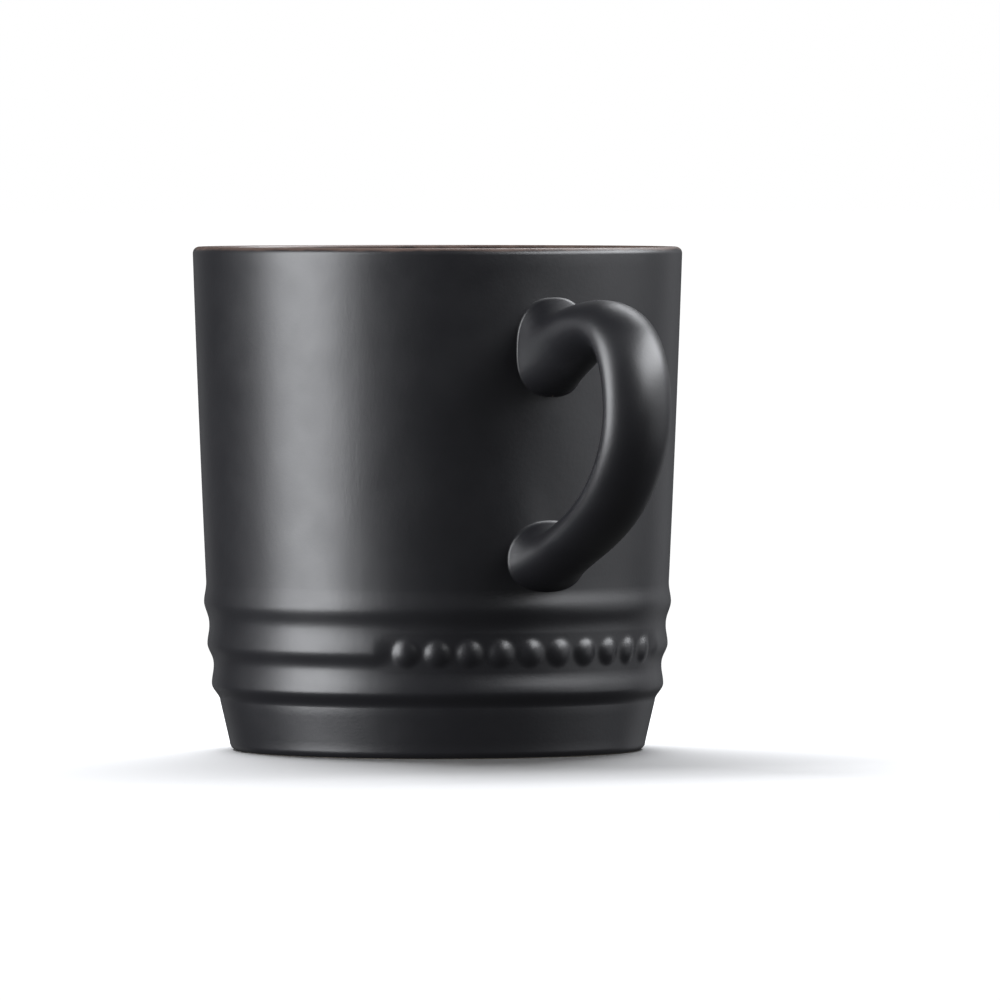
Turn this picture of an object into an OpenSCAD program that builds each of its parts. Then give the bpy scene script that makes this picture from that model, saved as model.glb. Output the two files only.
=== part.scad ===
// Stoneware mug: a thrown-style cup with three stepped rings, a luted strap handle and a satin glaze.
// Millimetres. +Z is up, the handle points along +X and the origin is the centre of the foot ring.

/* [Cup] */
// Overall height from the table to the top of the lip
cup_h = 90.5; // [70:0.5:110]
// Outside radius at the top of the wall
rim_r = 44.0; // [36:0.5:52]
// Outside radius where the plain wall starts, above the rings
wall_foot_r = 41.63; // [34:0.1:50]
// Outward bow of the wall between its two ends
wall_bow = 0.1; // [0:0.05:1]
// Radius of each rounded edge of the lip
lip_round = 1.2; // [0.5:0.1:1.8]
// Thickness of the lip, glaze included
lip_t = 3.9; // [3:0.1:6]
// Inside radius just above the rounded floor corner
inner_foot_r = 36.6; // [30:0.1:44]
// Height of the cup floor above the table
floor_z = 7.2; // [5:0.1:12]
// Radius of the rounded corner between floor and wall
floor_round = 9; // [3:0.5:15]

/* [Foot] */
// Outside radius of the unglazed contact ring
contact_r = 36.0; // [28:0.5:44]
// Radius of the outside just above the rounded foot edge
foot_r = 37.4; // [30:0.1:46]
// Rounding of the outside foot edge
foot_round = 1.5; // [0.5:0.1:3]
// Width of the unglazed contact ring
contact_w = 3.4; // [2:0.1:8]
// Height of the recess under the cup
recess_h = 2.4; // [1:0.1:4]

/* [Rings] */
// Top of the plain foot band, where the first step starts
step_z = 8.8; // [5:0.1:12]
// Outside radius at the top of the plain foot band
step_r = 39.1; // [30:0.1:46]
// Heights of the ring crests, lowest first
crest_z = [12.0, 19.2, 26.8];
// Radii of the ring crests, lowest first
crest_r = [40.62, 41.41, 42.02];
// Heights of the grooves above each crest
groove_z = [15.25, 22.4, 30.2];
// Radii of the two grooves between the crests
groove_r = [40.28, 41.07];

/* [Relief] */
// Half angle of the plain window that interrupts the middle ring under the handle
window_half = 41; // [0:1:80]
// Number of plain beads set in the window
bead_count = 10; // [2:1:20]
// Half angle between the first and the last bead
bead_half = 36; // [0:1:75]
// Diameter of a bead at the wall
bead_d = 4.4; // [2:0.1:6]
// Height that a bead stands out of the wall
bead_h = 0.8; // [0.3:0.1:2]

/* [Handle] */
// Height of the handle centreline where it leaves the wall at the top
upper_root_z = 72.6; // [60:0.5:80]
// Height of the handle centreline where it meets the wall at the bottom
lower_root_z = 35.3; // [32:0.5:50]
// Control points of the handle centreline between its two roots, top first
handle_ctrl = [[50.0, 75.9], [68.6, 80.7], [75.7, 65.0], [72.5, 51.4], [59.5, 40.4]];
// Half thickness of the strap, seen from the side
strap_half_t = 4.2; // [3:0.05:7]
// Half width of the strap, seen from the front
strap_half_w = 6.5; // [4:0.05:10]
// Half thickness of the upper root above and below its centreline
upper_flare = [9.9, 9.4];
// Lengths over which the upper flare blends into the strap, above and below
upper_blend = [10, 31.5];
// Half thickness of the lower root below and above its centreline
lower_flare = [5.9, 6.95];
// Lengths over which the lower flare blends into the strap, below and above
lower_blend = [11.5, 7];
// Half widths of the upper and the lower root
root_half_w = [6.9, 7.8];
// Squareness of the strap section, 2 being a plain ellipse
section_power = 1.9; // [1.8:0.05:3]
// Squareness of the upper and the lower root
root_power = [2.55, 2.2]; // [1.8:0.05:3]

/* [Coats] */
// Thickness of the satin glaze
glaze_t = 0.3; // [0.2:0.05:0.6]
// Thickness of the slip that joins the handle to the wall
slip_t = 0.5; // [0.3:0.1:1.5]

/* [Hidden] */
glaze_stop_z = 0.2;
root_blend = 8;
root_reach = 0.8;
width_blend = 9;
buried_x = 34;
strap_rings = 30;
strap_sides = 24;
$fn = 96;

glaze_colour = [0.15, 0.155, 0.17];
clay_colour = [0.80, 0.74, 0.64];
slip_colour = [0.70, 0.63, 0.54];

// Plain wall radius at height z, with its slight outward bow
wall_top_z = cup_h - lip_round;
function wall_u(z) = (z - groove_z[2]) / (wall_top_z - groove_z[2]);
function wall_r(z) =
    wall_foot_r + (rim_r - wall_foot_r) * wall_u(z) + 4 * wall_bow * wall_u(z) * (1 - wall_u(z));

// Half-cosine step between two profile points, skewed by power k, without its first point
function step(a, b, k, n) = [
    for (i = [1 : n])
        let (t = i / n, s = (1 - cos(180 * pow(t, k))) / 2)
        [a[0] + (b[0] - a[0]) * s, a[1] + (b[1] - a[1]) * t]
];

// Circular arc in the profile plane
function arc(c, r, from, to, n) = [
    for (i = [0 : n])
        let (a = from + (to - from) * i / n)
        [c[0] + r * cos(a), c[1] + r * sin(a)]
];

// Path moved to its left by d, with mitred corners
function unit(v) = v / norm(v);
function left_of(p, i) = unit([p[i][1] - p[i + 1][1], p[i + 1][0] - p[i][0]]);
function inset(p, d) = [
    for (i = [0 : len(p) - 1])
        let (
            n0 = left_of(p, max(i - 1, 0)),
            n1 = left_of(p, min(i, len(p) - 2)),
            m = unit(n0 + n1)
        )
        p[i] + m * d / (m * n0)
];
function reversed(p) = [for (i = [len(p) - 1 : -1 : 0]) p[i]];

// Outside of the glazed cup, as [radius, height], from the foot edge up to the middle of the lip
crests = [for (i = [0 : 2]) [crest_r[i], crest_z[i]]];
grooves = [[groove_r[0], groove_z[0]], [groove_r[1], groove_z[1]], [wall_foot_r, groove_z[2]]];
foot_centre = [foot_r - foot_round, foot_round];
stop_angle = -asin((foot_round - glaze_stop_z) / foot_round);
lip_mid_r = rim_r - lip_t / 2;
outer_path = concat(
    arc(foot_centre, foot_round, stop_angle, 0, 4),
    [[step_r, step_z]],
    step([step_r, step_z], crests[0], 1, 8),
    step(crests[0], grooves[0], 1, 5),
    step(grooves[0], crests[1], 1.2, 8),
    step(crests[1], grooves[1], 1, 5),
    step(grooves[1], crests[2], 1.2, 8),
    step(crests[2], grooves[2], 0.9, 5),
    [for (i = [1 : 6]) let (z = groove_z[2] + (wall_top_z - groove_z[2]) * i / 7) [wall_r(z), z]],
    arc([rim_r - lip_round, wall_top_z], lip_round, 0, 90, 5),
    [[lip_mid_r, cup_h]]
);

// Inside of the glazed cup, from the middle of the lip down to the centre of the floor
liner_path = concat(
    [[lip_mid_r, cup_h]],
    arc([rim_r - lip_t + lip_round, wall_top_z], lip_round, 90, 180, 5),
    arc([inner_foot_r - floor_round, floor_z + floor_round], floor_round, 0, -90, 8),
    [[0, floor_z]]
);

// Glazed recess under the cup, from its centre out to the foot ring
recess_r = contact_r - contact_w;
recess_path = [
    [0, recess_h],
    [recess_r - 1.4, recess_h],
    [recess_r - 0.5, recess_h - 0.5],
    [recess_r - 0.2, glaze_stop_z]
];

// Bare stoneware surfaces under the three coats
clay_outer = inset(outer_path, glaze_t);
clay_liner = inset(liner_path, glaze_t);
clay_recess = inset(recess_path, glaze_t);
clay_profile = concat(
    [[recess_r, 0], [contact_r, 0]],
    clay_outer,
    [for (i = [1 : len(clay_liner) - 1]) clay_liner[i]],
    clay_recess
);

// Window in the middle ring: the region outside the straight line from groove to groove
function window_profile(path) = let (
    a = [for (p = path) if (abs(p[1] - groove_z[0]) < 0.2) p][0],
    b = [for (p = path) if (abs(p[1] - groove_z[1]) < 0.2) p][0]
) [a, b, [b[0] + 5, b[1]], [a[0] + 5, a[1]]];
bead_z = (groove_z[0] + groove_z[1]) / 2;
bead_wall_r = (groove_r[0] + groove_r[1]) / 2;
bead_r = (pow(bead_d / 2, 2) + pow(bead_h, 2)) / (2 * bead_h);
bead_step = 2 * bead_half / (bead_count - 1);

// Handle centreline: a clamped cubic B-spline through the plane y = 0, as [x, z]
spline_ctrl = concat(
    [[wall_r(upper_root_z), upper_root_z]],
    handle_ctrl,
    [[wall_r(lower_root_z), lower_root_z]]
);
spans = len(spline_ctrl) - 3;
function knot(i) = max(0, min(spans, i - 3)) / spans;
function ratio(a, b) = b == 0 ? 0 : a / b;
function basis(i, k, t) = k == 0
    ? (t >= knot(i) && t < knot(i + 1) ? 1 : 0)
    : ratio(t - knot(i), knot(i + k) - knot(i)) * basis(i, k - 1, t)
    + ratio(knot(i + k + 1) - t, knot(i + k + 1) - knot(i + 1)) * basis(i + 1, k - 1, t);
function sum(v, i = 0) = i == len(v) - 1 ? v[i] : v[i] + sum(v, i + 1);
function spline(t) = sum([for (i = [0 : spans + 2]) basis(i, 3, min(t, 0.99999)) * spline_ctrl[i]]);

line = [for (i = [0 : strap_rings]) spline(i / strap_rings)];
run = [
    for (i = 0, s = 0; i <= strap_rings; s = s + norm(line[min(i + 1, strap_rings)] - line[i]), i = i + 1) s
];
length = run[strap_rings];
function tangent(i) = unit(line[min(i + 1, strap_rings)] - line[max(i - 1, 0)]);

// Blends from 1 at a root down to 0 at distance l along the strap
function fade(d, l) = pow(max(0, 1 - d / l), 2);
function blend(i, mid, top, top_l, low, low_l) =
    mid + (top - mid) * fade(run[i], top_l) + (low - mid) * fade(length - run[i], low_l);
function half_t(i, k) =
    blend(i, strap_half_t, upper_flare[k], upper_blend[k], lower_flare[k], lower_blend[k]);
function half_w(i) = blend(i, strap_half_w, root_half_w[0], width_blend, root_half_w[1], width_blend);
function power(i) = blend(i, section_power, root_power[0], width_blend, root_power[1], width_blend);
function rounded(v, i) = sign(v) * pow(abs(v), 2 / power(i));

// One ring of the strap as [x, y, z], grown by g; g is negative for the clay under the glaze
function flat_ring(i, g) = let (t = tangent(i), n = [-t[1], t[0]]) [
    for (j = [0 : strap_sides - 1])
        let (
            c = rounded(cos(360 * j / strap_sides), i),
            s = rounded(sin(360 * j / strap_sides), i),
            a = half_t(i, c > 0 ? 0 : 1) + g
        )
        [line[i][0] + n[0] * a * c, (half_w(i) + g) * s, line[i][1] + n[1] * a * c]
];

// The roots are pulled close to the round wall, and the pull fades out along the strap
function pull(p) = sqrt(max(0, pow(wall_r(p[2]), 2) - p[1] * p[1])) + root_reach - p[0];
function strap_ring(i, g) = let (
    own = flat_ring(i, g),
    top = flat_ring(0, g),
    low = flat_ring(strap_rings, g),
    wt = pow(max(0, 1 - run[i] / root_blend), 1.5),
    wl = pow(max(0, 1 - (length - run[i]) / root_blend), 1.5)
) [for (j = [0 : strap_sides - 1]) own[j] + [wt * pull(top[j]) + wl * pull(low[j]), 0, 0]];
function buried_ring(i, g) = [for (p = flat_ring(i, g)) [buried_x, p[1], p[2]]];

module strap(g) {
    rings = concat(
        [buried_ring(0, g)],
        [for (i = [0 : strap_rings]) strap_ring(i, g)],
        [buried_ring(strap_rings, g)]
    );
    n = strap_sides;
    m = len(rings);
    points = [for (r = rings) for (p = r) p];
    sides = [
        for (i = [0 : m - 2])
            for (j = [0 : n - 1])
                let (k = (j + 1) % n)
                each [
                    [i * n + j, i * n + k, (i + 1) * n + k],
                    [i * n + j, (i + 1) * n + k, (i + 1) * n + j]
                ]
    ];
    first = [for (j = [n - 1 : -1 : 0]) j];
    last = [for (j = [0 : n - 1]) (m - 1) * n + j];
    polyhedron(points = points, faces = concat(sides, [first, last]), convexity = 4);
}

// Plain beads in the window, each the cap of a sphere that is sunk into the wall and grown by g
module beads(g) {
    intersection() {
        for (i = [0 : bead_count - 1])
            rotate([0, 0, -bead_half + i * bead_step])
                translate([bead_wall_r + bead_h - bead_r, 0, bead_z])
                    sphere(r = bead_r + g);
        rotate_extrude()
            translate([bead_wall_r - 2 - g, bead_z - bead_d])
                square(2 * bead_d);
    }
}

// Window sector that removes the middle ring under the handle, widened by g at both ends
module window(path, g) {
    half = window_half + g / bead_wall_r * 180 / PI;
    rotate([0, 0, -half])
        rotate_extrude(angle = 2 * half)
            polygon(window_profile(path));
}

// Solid of revolution from the axis out to the clay surface, grown by g
module filled_wall(g) {
    rotate_extrude()
        polygon(concat([[0, glaze_stop_z]], inset(outer_path, glaze_t - g), [[0, cup_h]]));
}

// Band from the glazed outside to a line inside the clay
module glazed_band() {
    rotate_extrude()
        polygon(concat(outer_path, [[lip_mid_r, wall_top_z]], reversed(inset(outer_path, lip_t / 2))));
}

// Fired stoneware cup with its foot ring, moulded rings and beads
module cup_body() {
    color(clay_colour)
        union() {
            difference() {
                rotate_extrude()
                    polygon(clay_profile);
                window(clay_outer, glaze_t);
            }
            beads(-glaze_t);
        }
}

// Pulled stoneware handle, trimmed to the slip on the wall
module handle() {
    color(clay_colour)
        difference() {
            strap(-glaze_t);
            filled_wall(slip_t);
        }
}

// One of the two slip joints: the part of the root between heights z0 and z1 that lies on the wall
module slip_joint(z0, z1) {
    color(slip_colour)
        difference() {
            intersection() {
                strap(-glaze_t);
                filled_wall(slip_t);
                translate([buried_x, -15, z0])
                    cube([20, 30, z1 - z0]);
            }
            filled_wall(0);
        }
}

// Slip under the upper root
module upper_slip_joint() {
    slip_joint(55, 88);
}

// Slip under the lower root
module lower_slip_joint() {
    slip_joint(24, 50);
}

// Satin coat on the outside of the cup, from the foot edge to the middle of the lip
module outer_glaze() {
    color(glaze_colour)
        difference() {
            union() {
                difference() {
                    glazed_band();
                    window(outer_path, 0);
                }
                beads(0);
            }
            cup_body();
            strap(-glaze_t);
        }
}

// Coat on the inside of the cup, from the middle of the lip to the floor
module liner_glaze() {
    color(glaze_colour)
        rotate_extrude()
            polygon(concat(liner_path, reversed(clay_liner)));
}

// Coat around the handle, from wall to wall
module handle_glaze() {
    color(glaze_colour)
        difference() {
            strap(0);
            strap(-glaze_t);
            filled_wall(glaze_t);
        }
}

// Coat in the recess under the cup
module recess_glaze() {
    color(glaze_colour)
        rotate_extrude()
            polygon(concat(recess_path, reversed(clay_recess)));
}

cup_body();
handle();
upper_slip_joint();
lower_slip_joint();
outer_glaze();
liner_glaze();
handle_glaze();
recess_glaze();
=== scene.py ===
"""Stoneware mug with stepped rings, a strap handle and a satin charcoal glaze, on a plain studio floor."""

import bpy
import math
import numpy as np
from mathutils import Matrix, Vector


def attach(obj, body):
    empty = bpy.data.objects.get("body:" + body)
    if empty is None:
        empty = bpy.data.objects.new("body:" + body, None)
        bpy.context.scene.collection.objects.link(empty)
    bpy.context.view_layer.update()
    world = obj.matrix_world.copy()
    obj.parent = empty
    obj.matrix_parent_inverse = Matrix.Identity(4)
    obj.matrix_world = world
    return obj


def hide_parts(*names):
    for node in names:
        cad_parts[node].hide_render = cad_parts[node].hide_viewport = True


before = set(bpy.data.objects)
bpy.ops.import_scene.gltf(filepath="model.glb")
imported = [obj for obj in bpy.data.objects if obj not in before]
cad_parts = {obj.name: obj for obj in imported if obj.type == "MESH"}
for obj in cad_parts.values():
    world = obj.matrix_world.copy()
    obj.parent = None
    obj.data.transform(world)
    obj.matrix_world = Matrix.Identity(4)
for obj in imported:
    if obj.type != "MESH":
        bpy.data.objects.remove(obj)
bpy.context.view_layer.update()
MM = 0.001
SHARP_EDGE = math.radians(40)

# ---------------------------------------------------------------- dimensions, in millimetres

# These are the CAD's, apart from STOP_Z (0.2 there), the eased window ends, the soft bead edges and
# the root fillets. STRAP_LENGTH is rounded, as it only spaces the rings at the fillets.
CUP_H, RIM_R, WALL_FOOT_R, WALL_BOW = 90.5, 44.0, 41.63, 0.1
LIP_ROUND, LIP_T = 1.2, 3.9
INNER_FOOT_R, FLOOR_Z, FLOOR_ROUND = 36.6, 7.2, 9.0
CONTACT_R, FOOT_R, FOOT_ROUND, CONTACT_W = 36.0, 37.4, 1.5, 3.4
RECESS_H, RECESS_ROUND, RECESS_LEAN = 2.4, 1.2, 0.7
STEP = (39.1, 8.8)
CRESTS = ((40.62, 12.0), (41.41, 19.2), (42.02, 26.8))
GROOVES = ((40.28, 15.25), (41.07, 22.4), (WALL_FOOT_R, 30.2))
GLAZE_T, STOP_Z = 0.3, 0.05
WALL_TOP_Z = CUP_H - LIP_ROUND
LIP_MID_R = RIM_R - LIP_T / 2

WINDOW_HALF, WINDOW_EASE = math.radians(41), math.radians(6)
WINDOW_OVERLAP = math.radians(2.5)
BEAD_COUNT, BEAD_HALF, BEAD_D, BEAD_H = 10, math.radians(36), 4.4, 0.8
BEAD_Z = (GROOVES[0][1] + GROOVES[1][1]) / 2
BEAD_SOFT, BEAD_EDGE, BEAD_BASE = 0.22, 0.8, 0.3

UPPER_Z, LOWER_Z = 72.6, 35.3
HANDLE_CTRL = ((50.0, 75.9), (68.6, 80.7), (75.7, 65.0), (72.5, 51.4), (59.5, 40.4))
HALF_T, HALF_W = 4.2, 6.5
UPPER_FLARE, UPPER_BLEND = (9.9, 9.4), (10.0, 31.5)
LOWER_FLARE, LOWER_BLEND = (5.9, 6.95), (11.5, 7.0)
ROOT_HALF_W, WIDTH_BLEND, ROOT_BLEND = (6.9, 7.8), 9.0, 8.0
SECTION_POWER, ROOT_POWER = 1.9, (2.55, 2.2)
ROOT_FILLET, SKIN_SINK, STRAP_LENGTH = 0.35, 0.2, 86.7


# ---------------------------------------------------------------- profiles, as arrays of (radius, height)

def wall_r(z):
    """Radius of the plain wall above the rings, slightly bowed."""
    u = (z - GROOVES[2][1]) / (WALL_TOP_Z - GROOVES[2][1])
    return WALL_FOOT_R + (RIM_R - WALL_FOOT_R) * u + 4 * WALL_BOW * u * (1 - u)


def step(a, b, k, n):
    """Points of a cosine curve after a, up to and including b. A k above 1 keeps it near a for longer."""
    t = np.arange(1, n + 1) / n
    s = (1 - np.cos(np.pi * t**k)) / 2
    return np.stack([a[0] + (b[0] - a[0]) * s, a[1] + (b[1] - a[1]) * t], 1)


def arc(c, r, start, end, n):
    a = np.radians(np.linspace(start, end, n + 1))
    return np.stack([c[0] + r * np.cos(a), c[1] + r * np.sin(a)], 1)


def line(a, b, n):
    """Points after a, up to and including b."""
    t = (np.arange(1, n + 1) / n)[:, None]
    return np.array(a) + (np.array(b) - np.array(a)) * t


def inset(path, d):
    """The path moved to its left by d, with mitred corners."""
    e = np.diff(path, axis=0)
    n = np.stack([-e[:, 1], e[:, 0]], 1)
    n /= np.linalg.norm(n, axis=1)[:, None]
    n0, n1 = np.vstack([n[:1], n]), np.vstack([n, n[-1:]])
    m = n0 + n1
    m /= np.linalg.norm(m, axis=1)[:, None]
    return path + m * (d / (m * n0).sum(1))[:, None]


def outside_path(fine):
    """The glazed outside from the foot edge to the middle of the lip. fine is 1 for the seen surface."""
    n = lambda k: max(2, round(k * fine))
    stop = -math.degrees(math.asin((FOOT_ROUND - STOP_Z) / FOOT_ROUND))
    foot = arc((FOOT_R - FOOT_ROUND, FOOT_ROUND), FOOT_ROUND, stop, 0, n(8))
    wall_z = np.linspace(GROOVES[2][1], WALL_TOP_Z, n(26) + 1)[1:-1]
    return np.vstack([
        foot,
        line(foot[-1], STEP, n(5)),
        step(STEP, CRESTS[0], 1, n(16)),
        step(CRESTS[0], GROOVES[0], 1, n(10)),
        step(GROOVES[0], CRESTS[1], 1.2, n(16)),
        step(CRESTS[1], GROOVES[1], 1, n(13)),
        step(GROOVES[1], CRESTS[2], 1.2, n(16)),
        step(CRESTS[2], GROOVES[2], 0.9, n(12)),
        np.stack([wall_r(wall_z), wall_z], 1),
        arc((RIM_R - LIP_ROUND, WALL_TOP_Z), LIP_ROUND, 0, 90, n(10)),
        [(LIP_MID_R, CUP_H)],
    ])


def inside_path(fine):
    """The glazed inside from the middle of the lip to the centre of the floor."""
    n = lambda k: max(2, round(k * fine))
    lip = arc((RIM_R - LIP_T + LIP_ROUND, WALL_TOP_Z), LIP_ROUND, 90, 180, n(10))
    corner = arc((INNER_FOOT_R - FLOOR_ROUND, FLOOR_Z + FLOOR_ROUND), FLOOR_ROUND, 0, -90, n(14))
    return np.vstack([
        [(LIP_MID_R, CUP_H)],
        lip,
        line(lip[-1], corner[0], n(20))[:-1],
        corner,
        line(corner[-1], (0, FLOOR_Z), n(12)),
    ])


def recess_path():
    """The glazed recess from its centre to the inner edge of the foot ring."""
    r = CONTACT_R - CONTACT_W
    flat_r = r - RECESS_ROUND - RECESS_LEAN
    return np.vstack([
        [(0, RECESS_H)],
        line((0, RECESS_H), (flat_r, RECESS_H), 8),
        arc((flat_r, RECESS_H - RECESS_ROUND), RECESS_ROUND, 90, 25, 6)[1:],
        [(r - 0.2, STOP_Z)],
    ])


# ---------------------------------------------------------------- mesh helpers

def make(name, verts, faces):
    """A smooth-shaded object from points in millimetres."""
    mesh = bpy.data.meshes.new(name)
    mesh.from_pydata([tuple(v) for v in np.asarray(verts) * MM], [], faces)
    mesh.validate()
    mesh.update()
    obj = bpy.data.objects.new(name, mesh)
    bpy.context.scene.collection.objects.link(obj)
    mesh.shade_smooth()
    mesh.set_sharp_from_angle(angle=SHARP_EDGE)
    return obj


def lathe(name, path, angles, depths=()):
    """Turns the closed path about Z. Its first rows, one for each depth, follow the relief at that depth."""
    path = np.asarray(path, float)
    n = len(angles)
    rows, verts, faces = [], [], []
    for i, (r, z) in enumerate(path):
        if r < 1e-6:
            rows.append([len(verts)] * n)
            verts.append((0, 0, z))
            continue
        radii = relief(r, z, angles, depths[i]) if i < len(depths) else np.full(n, r)
        rows.append(list(range(len(verts), len(verts) + n)))
        verts.extend(np.stack([radii * np.cos(angles), radii * np.sin(angles), np.full(n, z)], 1))
    for a, b in zip(rows, rows[1:] + rows[:1]):
        for j in range(n):
            k = (j + 1) % n
            quad = [a[j], a[k], b[k], b[j]]
            face = [v for q, v in enumerate(quad) if v not in quad[:q]]
            if len(face) > 2:
                faces.append(face)
    return make(name, verts, faces)


def even_angles(n):
    return np.linspace(-np.pi, np.pi, n, endpoint=False)


def relief_angles():
    """Fine columns over the beads and the ends of the middle ring, coarser ones elsewhere."""
    fine = np.radians(np.arange(-47, 47.01, 0.45))
    rest = np.linspace(fine[-1], fine[0] + 2 * np.pi, 150)[1:-1]
    return np.concatenate([fine, rest])


# ---------------------------------------------------------------- middle ring window and beads

def ease(x):
    x = np.clip(x, 0, 1)
    return x * x * (3 - 2 * x)


def relief(r, z, angles, depth):
    """Radius at `depth` under the glazed outside, with beads in place of the middle ring at the handle."""
    radii = np.full(len(angles), r + depth)
    a = np.arctan2(np.sin(angles), np.cos(angles))
    (r0, z0), (r1, z1) = GROOVES[0], GROOVES[1]
    if z0 < z < z1:
        plain = r0 + (r1 - r0) * (z - z0) / (z1 - z0)
        keep = ease((np.abs(a) - WINDOW_HALF + WINDOW_OVERLAP) / WINDOW_EASE)
        radii = plain + (radii - plain) * keep
        cap = ((BEAD_D / 2) ** 2 + BEAD_H**2) / (2 * BEAD_H)
        for c in np.linspace(-BEAD_HALF, BEAD_HALF, BEAD_COUNT):
            d2 = ((a - c) * (plain + BEAD_BASE)) ** 2 + (z - BEAD_Z) ** 2
            top = np.sqrt(np.maximum(cap**2 - d2, 0)) - cap + BEAD_H
            lift = BEAD_SOFT * np.logaddexp(0, top / BEAD_SOFT)
            radii = radii + lift * ease((BEAD_D * 0.75 - np.sqrt(d2)) / BEAD_EDGE)
    return radii - depth


# ---------------------------------------------------------------- handle

def bspline(ctrl, n):
    """Points of a clamped cubic B-spline at n even parameters."""
    ctrl = np.asarray(ctrl, float)
    m = len(ctrl)
    knots = np.concatenate([[0] * 3, np.linspace(0, 1, m - 2), [1] * 3])

    def basis(i, k, t):
        if k == 0:
            return ((t >= knots[i]) & (t < knots[i + 1])).astype(float)
        left = knots[i + k] - knots[i]
        right = knots[i + k + 1] - knots[i + 1]
        out = 0
        if left:
            out = out + (t - knots[i]) / left * basis(i, k - 1, t)
        if right:
            out = out + (knots[i + k + 1] - t) / right * basis(i + 1, k - 1, t)
        return out

    t = np.clip(np.linspace(0, 1, n), 0, 1 - 1e-9)
    return sum(basis(i, 3, t)[:, None] * ctrl[i] for i in range(m))


def strap_rings(g, s_at, sides, fillet):
    """Rings of the strap at the fractions s_at of its centreline, grown by g: an array (rings, sides, 3)."""
    ctrl = [(wall_r(UPPER_Z), UPPER_Z), *HANDLE_CTRL, (wall_r(LOWER_Z), LOWER_Z)]
    dense = bspline(ctrl, 1200)
    run = np.concatenate([[0], np.cumsum(np.linalg.norm(np.diff(dense, axis=0), axis=1))])
    length = run[-1]
    s = np.asarray(s_at) * length
    centre = np.stack([np.interp(s, run, dense[:, k]) for k in (0, 1)], 1)
    grad = np.gradient(dense, run, axis=0)
    tan = np.stack([np.interp(s, run, grad[:, k]) for k in (0, 1)], 1)
    tan /= np.linalg.norm(tan, axis=1)[:, None]
    nor = np.stack([-tan[:, 1], tan[:, 0]], 1)
    back = length - s
    fade = lambda d, l: np.clip(1 - d / l, 0, 1) ** 2
    blend = lambda mid, top, tl, low, ll: mid + (top - mid) * fade(s, tl) + (low - mid) * fade(back, ll)
    grow = g + 0 * s
    if fillet:
        grow = g + fillet * (1 - np.sqrt(1 - fade(np.minimum(s, back), fillet)))
    outer = blend(HALF_T, UPPER_FLARE[0], UPPER_BLEND[0], LOWER_FLARE[0], LOWER_BLEND[0]) + grow
    inner = blend(HALF_T, UPPER_FLARE[1], UPPER_BLEND[1], LOWER_FLARE[1], LOWER_BLEND[1]) + grow
    width = blend(HALF_W, ROOT_HALF_W[0], WIDTH_BLEND, ROOT_HALF_W[1], WIDTH_BLEND) + grow
    phi = np.linspace(0, 2 * np.pi, sides, endpoint=False)
    power = blend(SECTION_POWER, ROOT_POWER[0], WIDTH_BLEND, ROOT_POWER[1], WIDTH_BLEND)[:, None]
    c, sn = (np.sign(v) * np.abs(v) ** (2 / power) for v in (np.cos(phi), np.sin(phi)))
    half = np.where(c > 0, outer[:, None], inner[:, None])
    x = centre[:, :1] + nor[:, :1] * half * c
    z = centre[:, 1:] + nor[:, 1:] * half * c
    y = width[:, None] * sn
    for end, d in ((0, s), (-1, back)):
        on_wall = np.sqrt(wall_r(z[end]) ** 2 - y[end] ** 2)
        pull = on_wall - x[end]
        x = x + (np.clip(1 - d / ROOT_BLEND, 0, 1) ** 1.5)[:, None] * pull
    return np.stack([x, y, z], 2)


def strap_stations(n_mid, fillet):
    """Fractions of the strap's length from 0 to 1, dense where the fillets are."""
    near = np.array([0, 0.03, 0.09, 0.18, 0.3, 0.45, 0.65, 0.85, 1.05]) * fillet / STRAP_LENGTH
    mid = np.linspace(near[-1], 1 - near[-1], n_mid)
    return np.concatenate([near[:-1], mid, 1 - near[-2::-1]])


def shell(name, outer, inner):
    """A closed skin between two stacks of rings of the same number of sides."""
    n = outer.shape[1]
    loops = np.concatenate([outer, inner[::-1]])
    m = len(loops)
    faces = []
    for i in range(m):
        for j in range(n):
            a, b, k = i, (i + 1) % m, (j + 1) % n
            faces.append((a * n + j, b * n + j, b * n + k, a * n + k))
    return make(name, loops.reshape(-1, 3), faces)


def plug(name, rings):
    """A closed solid through a stack of rings, with its two ends fanned from their middles."""
    m, n = rings.shape[:2]
    verts = list(rings.reshape(-1, 3)) + [rings[0].mean(0), rings[-1].mean(0)]
    faces = [
        (i * n + j, (i + 1) * n + j, (i + 1) * n + (j + 1) % n, i * n + (j + 1) % n)
        for i in range(m - 1)
        for j in range(n)
    ]
    faces += [(m * n, j, (j + 1) % n) for j in range(n)]
    faces += [(m * n + 1, (m - 1) * n + (j + 1) % n, (m - 1) * n + j) for j in range(n)]
    return make(name, verts, faces)


def sunk(rings, depth):
    """The rings with one more at each end, moved depth into the wall."""
    shift = np.array([depth, 0, 0])
    return np.concatenate([rings[:1] - shift, rings, rings[-1:] - shift])


# ---------------------------------------------------------------- materials, with lengths in metres

LIP_BREAK_Z, LIP_WANDER = (0.0898, 0.0904), 0.0007
LIP_BROWNS = (0.060, 0.038, 0.032, 1), (0.160, 0.108, 0.088, 1)


def node(tree, kind, inputs=None, **props):
    n = tree.nodes.new(kind)
    for k, v in props.items():
        setattr(n, k, v)
    for k, v in (inputs or {}).items():
        if isinstance(v, bpy.types.NodeSocket):
            tree.links.new(v, n.inputs[k])
        else:
            n.inputs[k].default_value = v
    return n


def noise(tree, coords, scale, detail=2.0, roughness=0.5):
    inputs = {"Vector": coords, "Scale": scale, "Detail": detail, "Roughness": roughness}
    return node(tree, "ShaderNodeTexNoise", inputs).outputs["Fac"]


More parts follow.
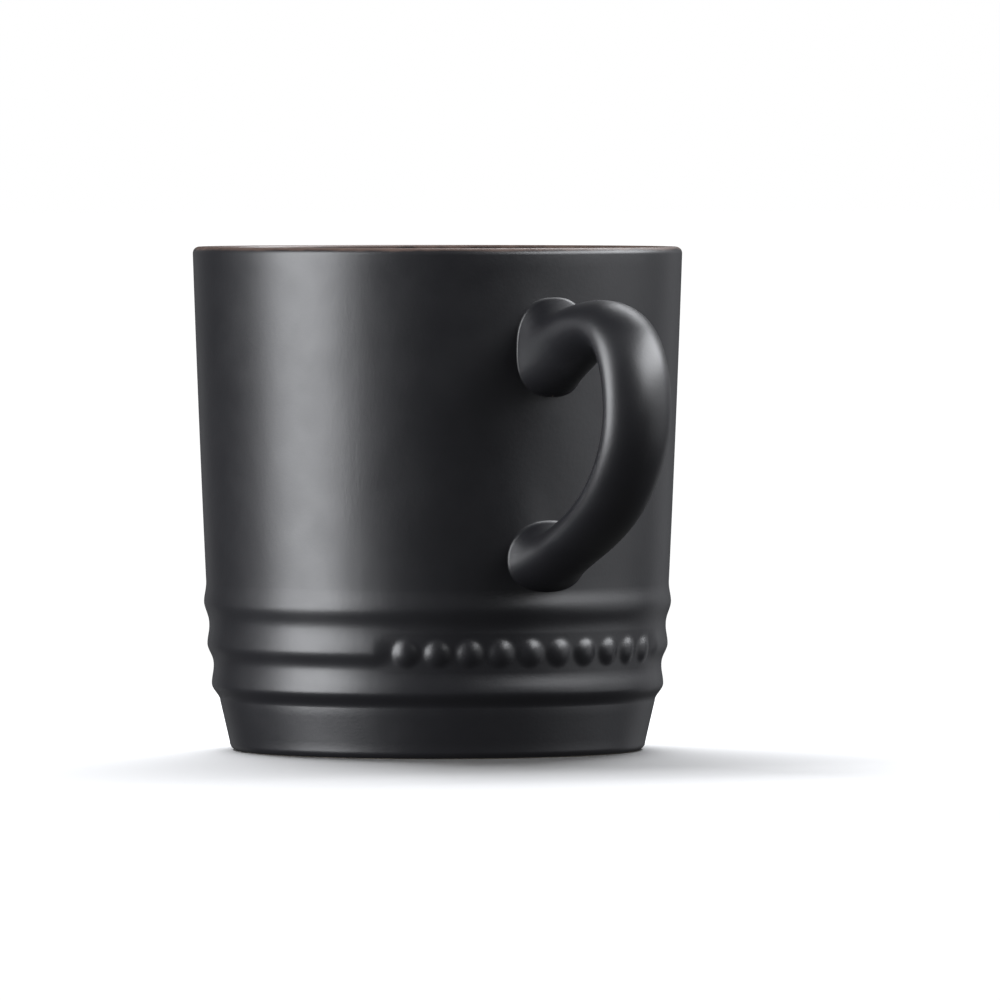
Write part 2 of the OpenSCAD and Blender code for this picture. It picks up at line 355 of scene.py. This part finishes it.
def spread(tree, value, low, high, out_low=0.0, out_high=1.0, smooth=True):
    return node(
        tree,
        "ShaderNodeMapRange",
        {"Value": value, "From Min": low, "From Max": high, "To Min": out_low, "To Max": out_high},
        interpolation_type="SMOOTHSTEP" if smooth else "LINEAR",
    ).outputs["Result"]


def maths(tree, op, a, b):
    return node(tree, "ShaderNodeMath", {0: a, 1: b}, operation=op).outputs[0]


def mixed(tree, fac, a, b):
    n = node(tree, "ShaderNodeMix", data_type="RGBA")
    for k, v in ((0, fac), (6, a), (7, b)):
        if isinstance(v, bpy.types.NodeSocket):
            tree.links.new(v, n.inputs[k])
        else:
            n.inputs[k].default_value = v
    return n.outputs[2]


def bumped(tree, height, distance, strength=1.0, under=None):
    inputs = {"Height": height, "Distance": distance, "Strength": strength}
    if under is not None:
        inputs["Normal"] = under
    return node(tree, "ShaderNodeBump", inputs).outputs["Normal"]


def material(name):
    m = bpy.data.materials.new(name)
    m.use_nodes = True
    tree = m.node_tree
    tree.nodes.clear()
    out = node(tree, "ShaderNodeOutputMaterial")
    shader = node(tree, "ShaderNodeBsdfPrincipled")
    tree.links.new(shader.outputs[0], out.inputs["Surface"])
    coords = node(tree, "ShaderNodeTexCoord").outputs["Object"]
    return m, tree, shader, coords


def glaze(name, dark, light, rough_low, rough_high):
    """Satin charcoal glaze: cloudy tone, fine pitted texture, and brown where it runs thin over the lip."""
    m, tree, shader, coords = material(name)
    cloud = noise(tree, coords, 38, 3, 0.55)
    grain = noise(tree, coords, 1500, 2, 0.6)
    tone = mixed(tree, spread(tree, cloud, 0.3, 0.7), dark, light)
    z = node(tree, "ShaderNodeSeparateXYZ", {0: coords}).outputs["Z"]
    wander = maths(tree, "MULTIPLY_ADD", noise(tree, coords, 240, 2, 0.5), LIP_WANDER)
    wander.node.inputs[2].default_value = -LIP_WANDER / 2
    edge = spread(tree, maths(tree, "ADD", z, wander), *LIP_BREAK_Z)
    warm = mixed(tree, noise(tree, coords, 420, 3, 0.6), *LIP_BROWNS)
    tone = mixed(tree, maths(tree, "MULTIPLY", edge, 0.9), tone, warm)
    tree.links.new(tone, shader.inputs["Base Color"])
    rough = spread(tree, noise(tree, coords, 120, 3, 0.6), 0.3, 0.7, rough_low, rough_high, smooth=False)
    tree.links.new(rough, shader.inputs["Roughness"])
    shader.inputs["IOR"].default_value = 1.6
    swell = bumped(tree, noise(tree, coords, 90, 2, 0.5), 0.00006)
    tree.links.new(bumped(tree, grain, 0.00002, 0.8, swell), shader.inputs["Normal"])
    return m


def stoneware(name, pale, deep):
    """Bare fired stoneware: buff, speckled with iron and slightly gritty."""
    m, tree, shader, coords = material(name)
    tone = mixed(tree, noise(tree, coords, 180, 4, 0.6), pale, deep)
    speck = spread(tree, noise(tree, coords, 1100, 1, 0.4), 0.68, 0.74)
    tone = mixed(tree, speck, tone, (0.13, 0.07, 0.04, 1))
    tree.links.new(tone, shader.inputs["Base Color"])
    rough = spread(tree, noise(tree, coords, 600, 3, 0.6), 0.3, 0.7, 0.78, 0.95, smooth=False)
    tree.links.new(rough, shader.inputs["Roughness"])
    tree.links.new(bumped(tree, noise(tree, coords, 1400, 4, 0.65), 0.00008), shader.inputs["Normal"])
    return m


satin = glaze("satin_glaze", (0.0058, 0.0058, 0.0075, 1), (0.0076, 0.0076, 0.0095, 1), 0.38, 0.43)
lining = glaze("liner_glaze", (0.0058, 0.0058, 0.0071, 1), (0.0076, 0.0076, 0.0091, 1), 0.30, 0.35)
bare = stoneware("bare_stoneware", (0.62, 0.54, 0.43, 1), (0.50, 0.42, 0.32, 1))
slip = stoneware("fired_slip", (0.50, 0.43, 0.34, 1), (0.42, 0.35, 0.27, 1))


def dress(obj, mat, slot, *nodes):
    """Gives a piece its material and sets it in place of the CAD nodes that it stands for. The slot argument
    is not used.
    """
    obj.data.materials.clear()
    obj.data.materials.append(mat)
    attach(obj, "root")
    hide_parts(*nodes)
    return obj


# ---------------------------------------------------------------- the mug

seen_outside = outside_path(1)
back_outside = inset(outside_path(0.35), GLAZE_T)
seen_inside = inside_path(1)
back_inside = inset(inside_path(0.5), GLAZE_T)
recess = recess_path()
recess_back = inset(recess, GLAZE_T)

outside = lathe(
    "glaze_outside",
    np.vstack([seen_outside, back_outside[::-1]]),
    relief_angles(),
    [0.0] * len(seen_outside) + [GLAZE_T] * len(back_outside),
)
dress(outside, satin, "satin_glaze", "outer_glaze")

inside = lathe("glaze_inside", np.vstack([seen_inside, back_inside[::-1]]), even_angles(256))
dress(inside, lining, "liner_glaze", "liner_glaze")

under = lathe("glaze_recess", np.vstack([recess, recess_back[::-1]]), even_angles(192))
dress(under, satin, "satin_glaze", "recess_glaze")

clay_outside = inset(outside_path(0.5), GLAZE_T)
clay = lathe(
    "stoneware_cup",
    np.vstack([
        clay_outside,
        back_inside[1:],
        recess_back,
        [(CONTACT_R - CONTACT_W, 0.15), (CONTACT_R - CONTACT_W + 0.2, 0.0)],
        line((CONTACT_R - CONTACT_W + 0.2, 0.0), (CONTACT_R - 0.2, 0.0), 4),
        [(CONTACT_R, 0.1)],
    ]),
    relief_angles(),
    [GLAZE_T] * len(clay_outside),
)
dress(clay, bare, "bare_stoneware", "cup_body")

stations = strap_stations(110, ROOT_FILLET)
skin = shell(
    "glaze_handle",
    sunk(strap_rings(0, stations, 72, ROOT_FILLET), SKIN_SINK),
    sunk(strap_rings(-GLAZE_T, stations, 72, 0), SKIN_SINK),
)
dress(skin, satin, "satin_glaze", "handle_glaze")

core = plug("stoneware_handle", strap_rings(-GLAZE_T - 0.02, np.linspace(0.012, 0.988, 60), 48, 0))
dress(core, bare, "bare_stoneware", "handle")

for name in ("upper_slip_joint", "lower_slip_joint"):
    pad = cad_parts[name]
    pad.data.materials.clear()
    pad.data.materials.append(slip)

# ---------------------------------------------------------------- floor, light and camera, in metres

WHITE_FROM = (0.13, 0.3)
LIGHT_COLOR = (0.955, 0.97, 1.0)


def pale_floor():
    """White paper for the camera, lit near the mug and clean white beyond. All other rays pass through it."""
    m, tree, shader, coords = material("studio_floor")
    shader.inputs["Base Color"].default_value = (0.9, 0.9, 0.9, 1)
    shader.inputs["Roughness"].default_value = 0.9
    shader.inputs["Specular IOR Level"].default_value = 0.0
    away = node(tree, "ShaderNodeVectorMath", {0: coords}, operation="LENGTH").outputs["Value"]
    white = node(tree, "ShaderNodeEmission", {"Color": (1, 1, 1, 1), "Strength": 1.05}).outputs[0]
    far = spread(tree, away, *WHITE_FROM)
    paper = node(tree, "ShaderNodeMixShader", {0: far, 1: shader.outputs[0], 2: white}).outputs[0]
    seen = node(tree, "ShaderNodeLightPath").outputs["Is Camera Ray"]
    past = node(tree, "ShaderNodeBsdfTransparent").outputs[0]
    sheet = node(tree, "ShaderNodeMixShader", {0: seen, 1: past, 2: paper}).outputs[0]
    out = next(n for n in tree.nodes if n.bl_idname == "ShaderNodeOutputMaterial")
    tree.links.new(sheet, out.inputs["Surface"])
    return m


bpy.ops.mesh.primitive_plane_add(size=40, location=(0, 0, 0))
floor = bpy.context.object
floor.name = "studio_floor"
floor.data.materials.append(pale_floor())

AZIMUTH, DISTANCE, EYE_Z = math.radians(62.0), 2.185, 0.1058
TARGET_RIGHT, TARGET_Z = 0.01124, 0.0449
to_eye = Vector((math.sin(AZIMUTH), -math.cos(AZIMUTH), 0))
right = Vector((math.cos(AZIMUTH), math.sin(AZIMUTH), 0))
eye = to_eye * DISTANCE + Vector((0, 0, EYE_Z))
target = right * TARGET_RIGHT + Vector((0, 0, TARGET_Z))

camera_data = bpy.data.cameras.new("camera")
camera_data.sensor_width = 36
camera_data.lens = 437.4
camera_data.clip_end = 200
camera = bpy.data.objects.new("camera", camera_data)
bpy.context.scene.collection.objects.link(camera)
camera.location = eye
camera.rotation_euler = (target - eye).to_track_quat("-Z", "Y").to_euler()
bpy.context.scene.camera = camera

floor_only = bpy.data.collections.new("floor_only")
floor_only.objects.link(floor)
all_but_floor = bpy.data.collections.new("all_but_floor")
all_but_floor.objects.link(floor)
all_but_floor.collection_objects[0].light_linking.link_state = "EXCLUDE"


def softbox(name, side, height, distance, size, power, aim=(0, 0, 0.05), lights=all_but_floor):
    """An area light at `side` degrees to the right of the camera, working only on the collection `lights`."""
    a = math.radians(side)
    spot = (to_eye * math.cos(a) + right * math.sin(a)) * distance + Vector((0, 0, height))
    data = bpy.data.lights.new(name, "AREA")
    data.shape = "RECTANGLE"
    data.size, data.size_y = size
    data.energy = power
    data.color = LIGHT_COLOR
    light = bpy.data.objects.new(name, data)
    bpy.context.scene.collection.objects.link(light)
    light.location = spot
    light.rotation_euler = (Vector(aim) - spot).to_track_quat("-Z", "Y").to_euler()
    light.light_linking.receiver_collection = lights


softbox("key_softbox", -65, 0.30, 1.3, (0.92, 1.45), 38)
softbox("strap_softbox", 84, 0.72, 1.0, (1.7, 0.6), 28)
softbox("right_fill", 88, 0.1, 1.4, (1.3, 1.2), 3.2)
softbox("right_edge_light", 142, 0.0, 1.6, (0.7, 1.1), 0.9)
softbox("left_edge_light", -155, 0.0, 1.6, (0.5, 1.1), 0.45)
softbox("back_softbox", 155, 1.0, 1.0, (0.8, 0.5), 6)
softbox("top_softbox", 0, 1.1, 0.7, (0.8, 0.8), 0.4)
softbox("floor_softbox", 180, 1.0, 0.75, (0.7, 1.5), 38, -to_eye * 0.75, floor_only)

world = bpy.data.worlds.new("studio")
bpy.context.scene.world = world
world.use_nodes = True
wt = world.node_tree
wt.nodes.clear()
w_out = node(wt, "ShaderNodeOutputWorld")
paths = node(wt, "ShaderNodeLightPath")
bright = node(wt, "ShaderNodeBackground", {"Color": (1, 1, 1, 1), "Strength": 1.0})
soft = node(wt, "ShaderNodeBackground", {"Color": (1, 1, 1, 1), "Strength": 0.15})
dim = node(wt, "ShaderNodeBackground", {"Color": (0.96, 0.98, 1, 1), "Strength": 0.05})
glossy, direct = paths.outputs["Is Glossy Ray"], paths.outputs["Is Camera Ray"]
lit = node(wt, "ShaderNodeMixShader", {0: glossy, 1: soft.outputs[0], 2: dim.outputs[0]})
both = node(wt, "ShaderNodeMixShader", {0: direct, 1: lit.outputs[0], 2: bright.outputs[0]})
wt.links.new(both.outputs[0], w_out.inputs["Surface"])

bpy.context.scene.view_settings.view_transform = "Standard"
bpy.context.scene.view_settings.look = "None"
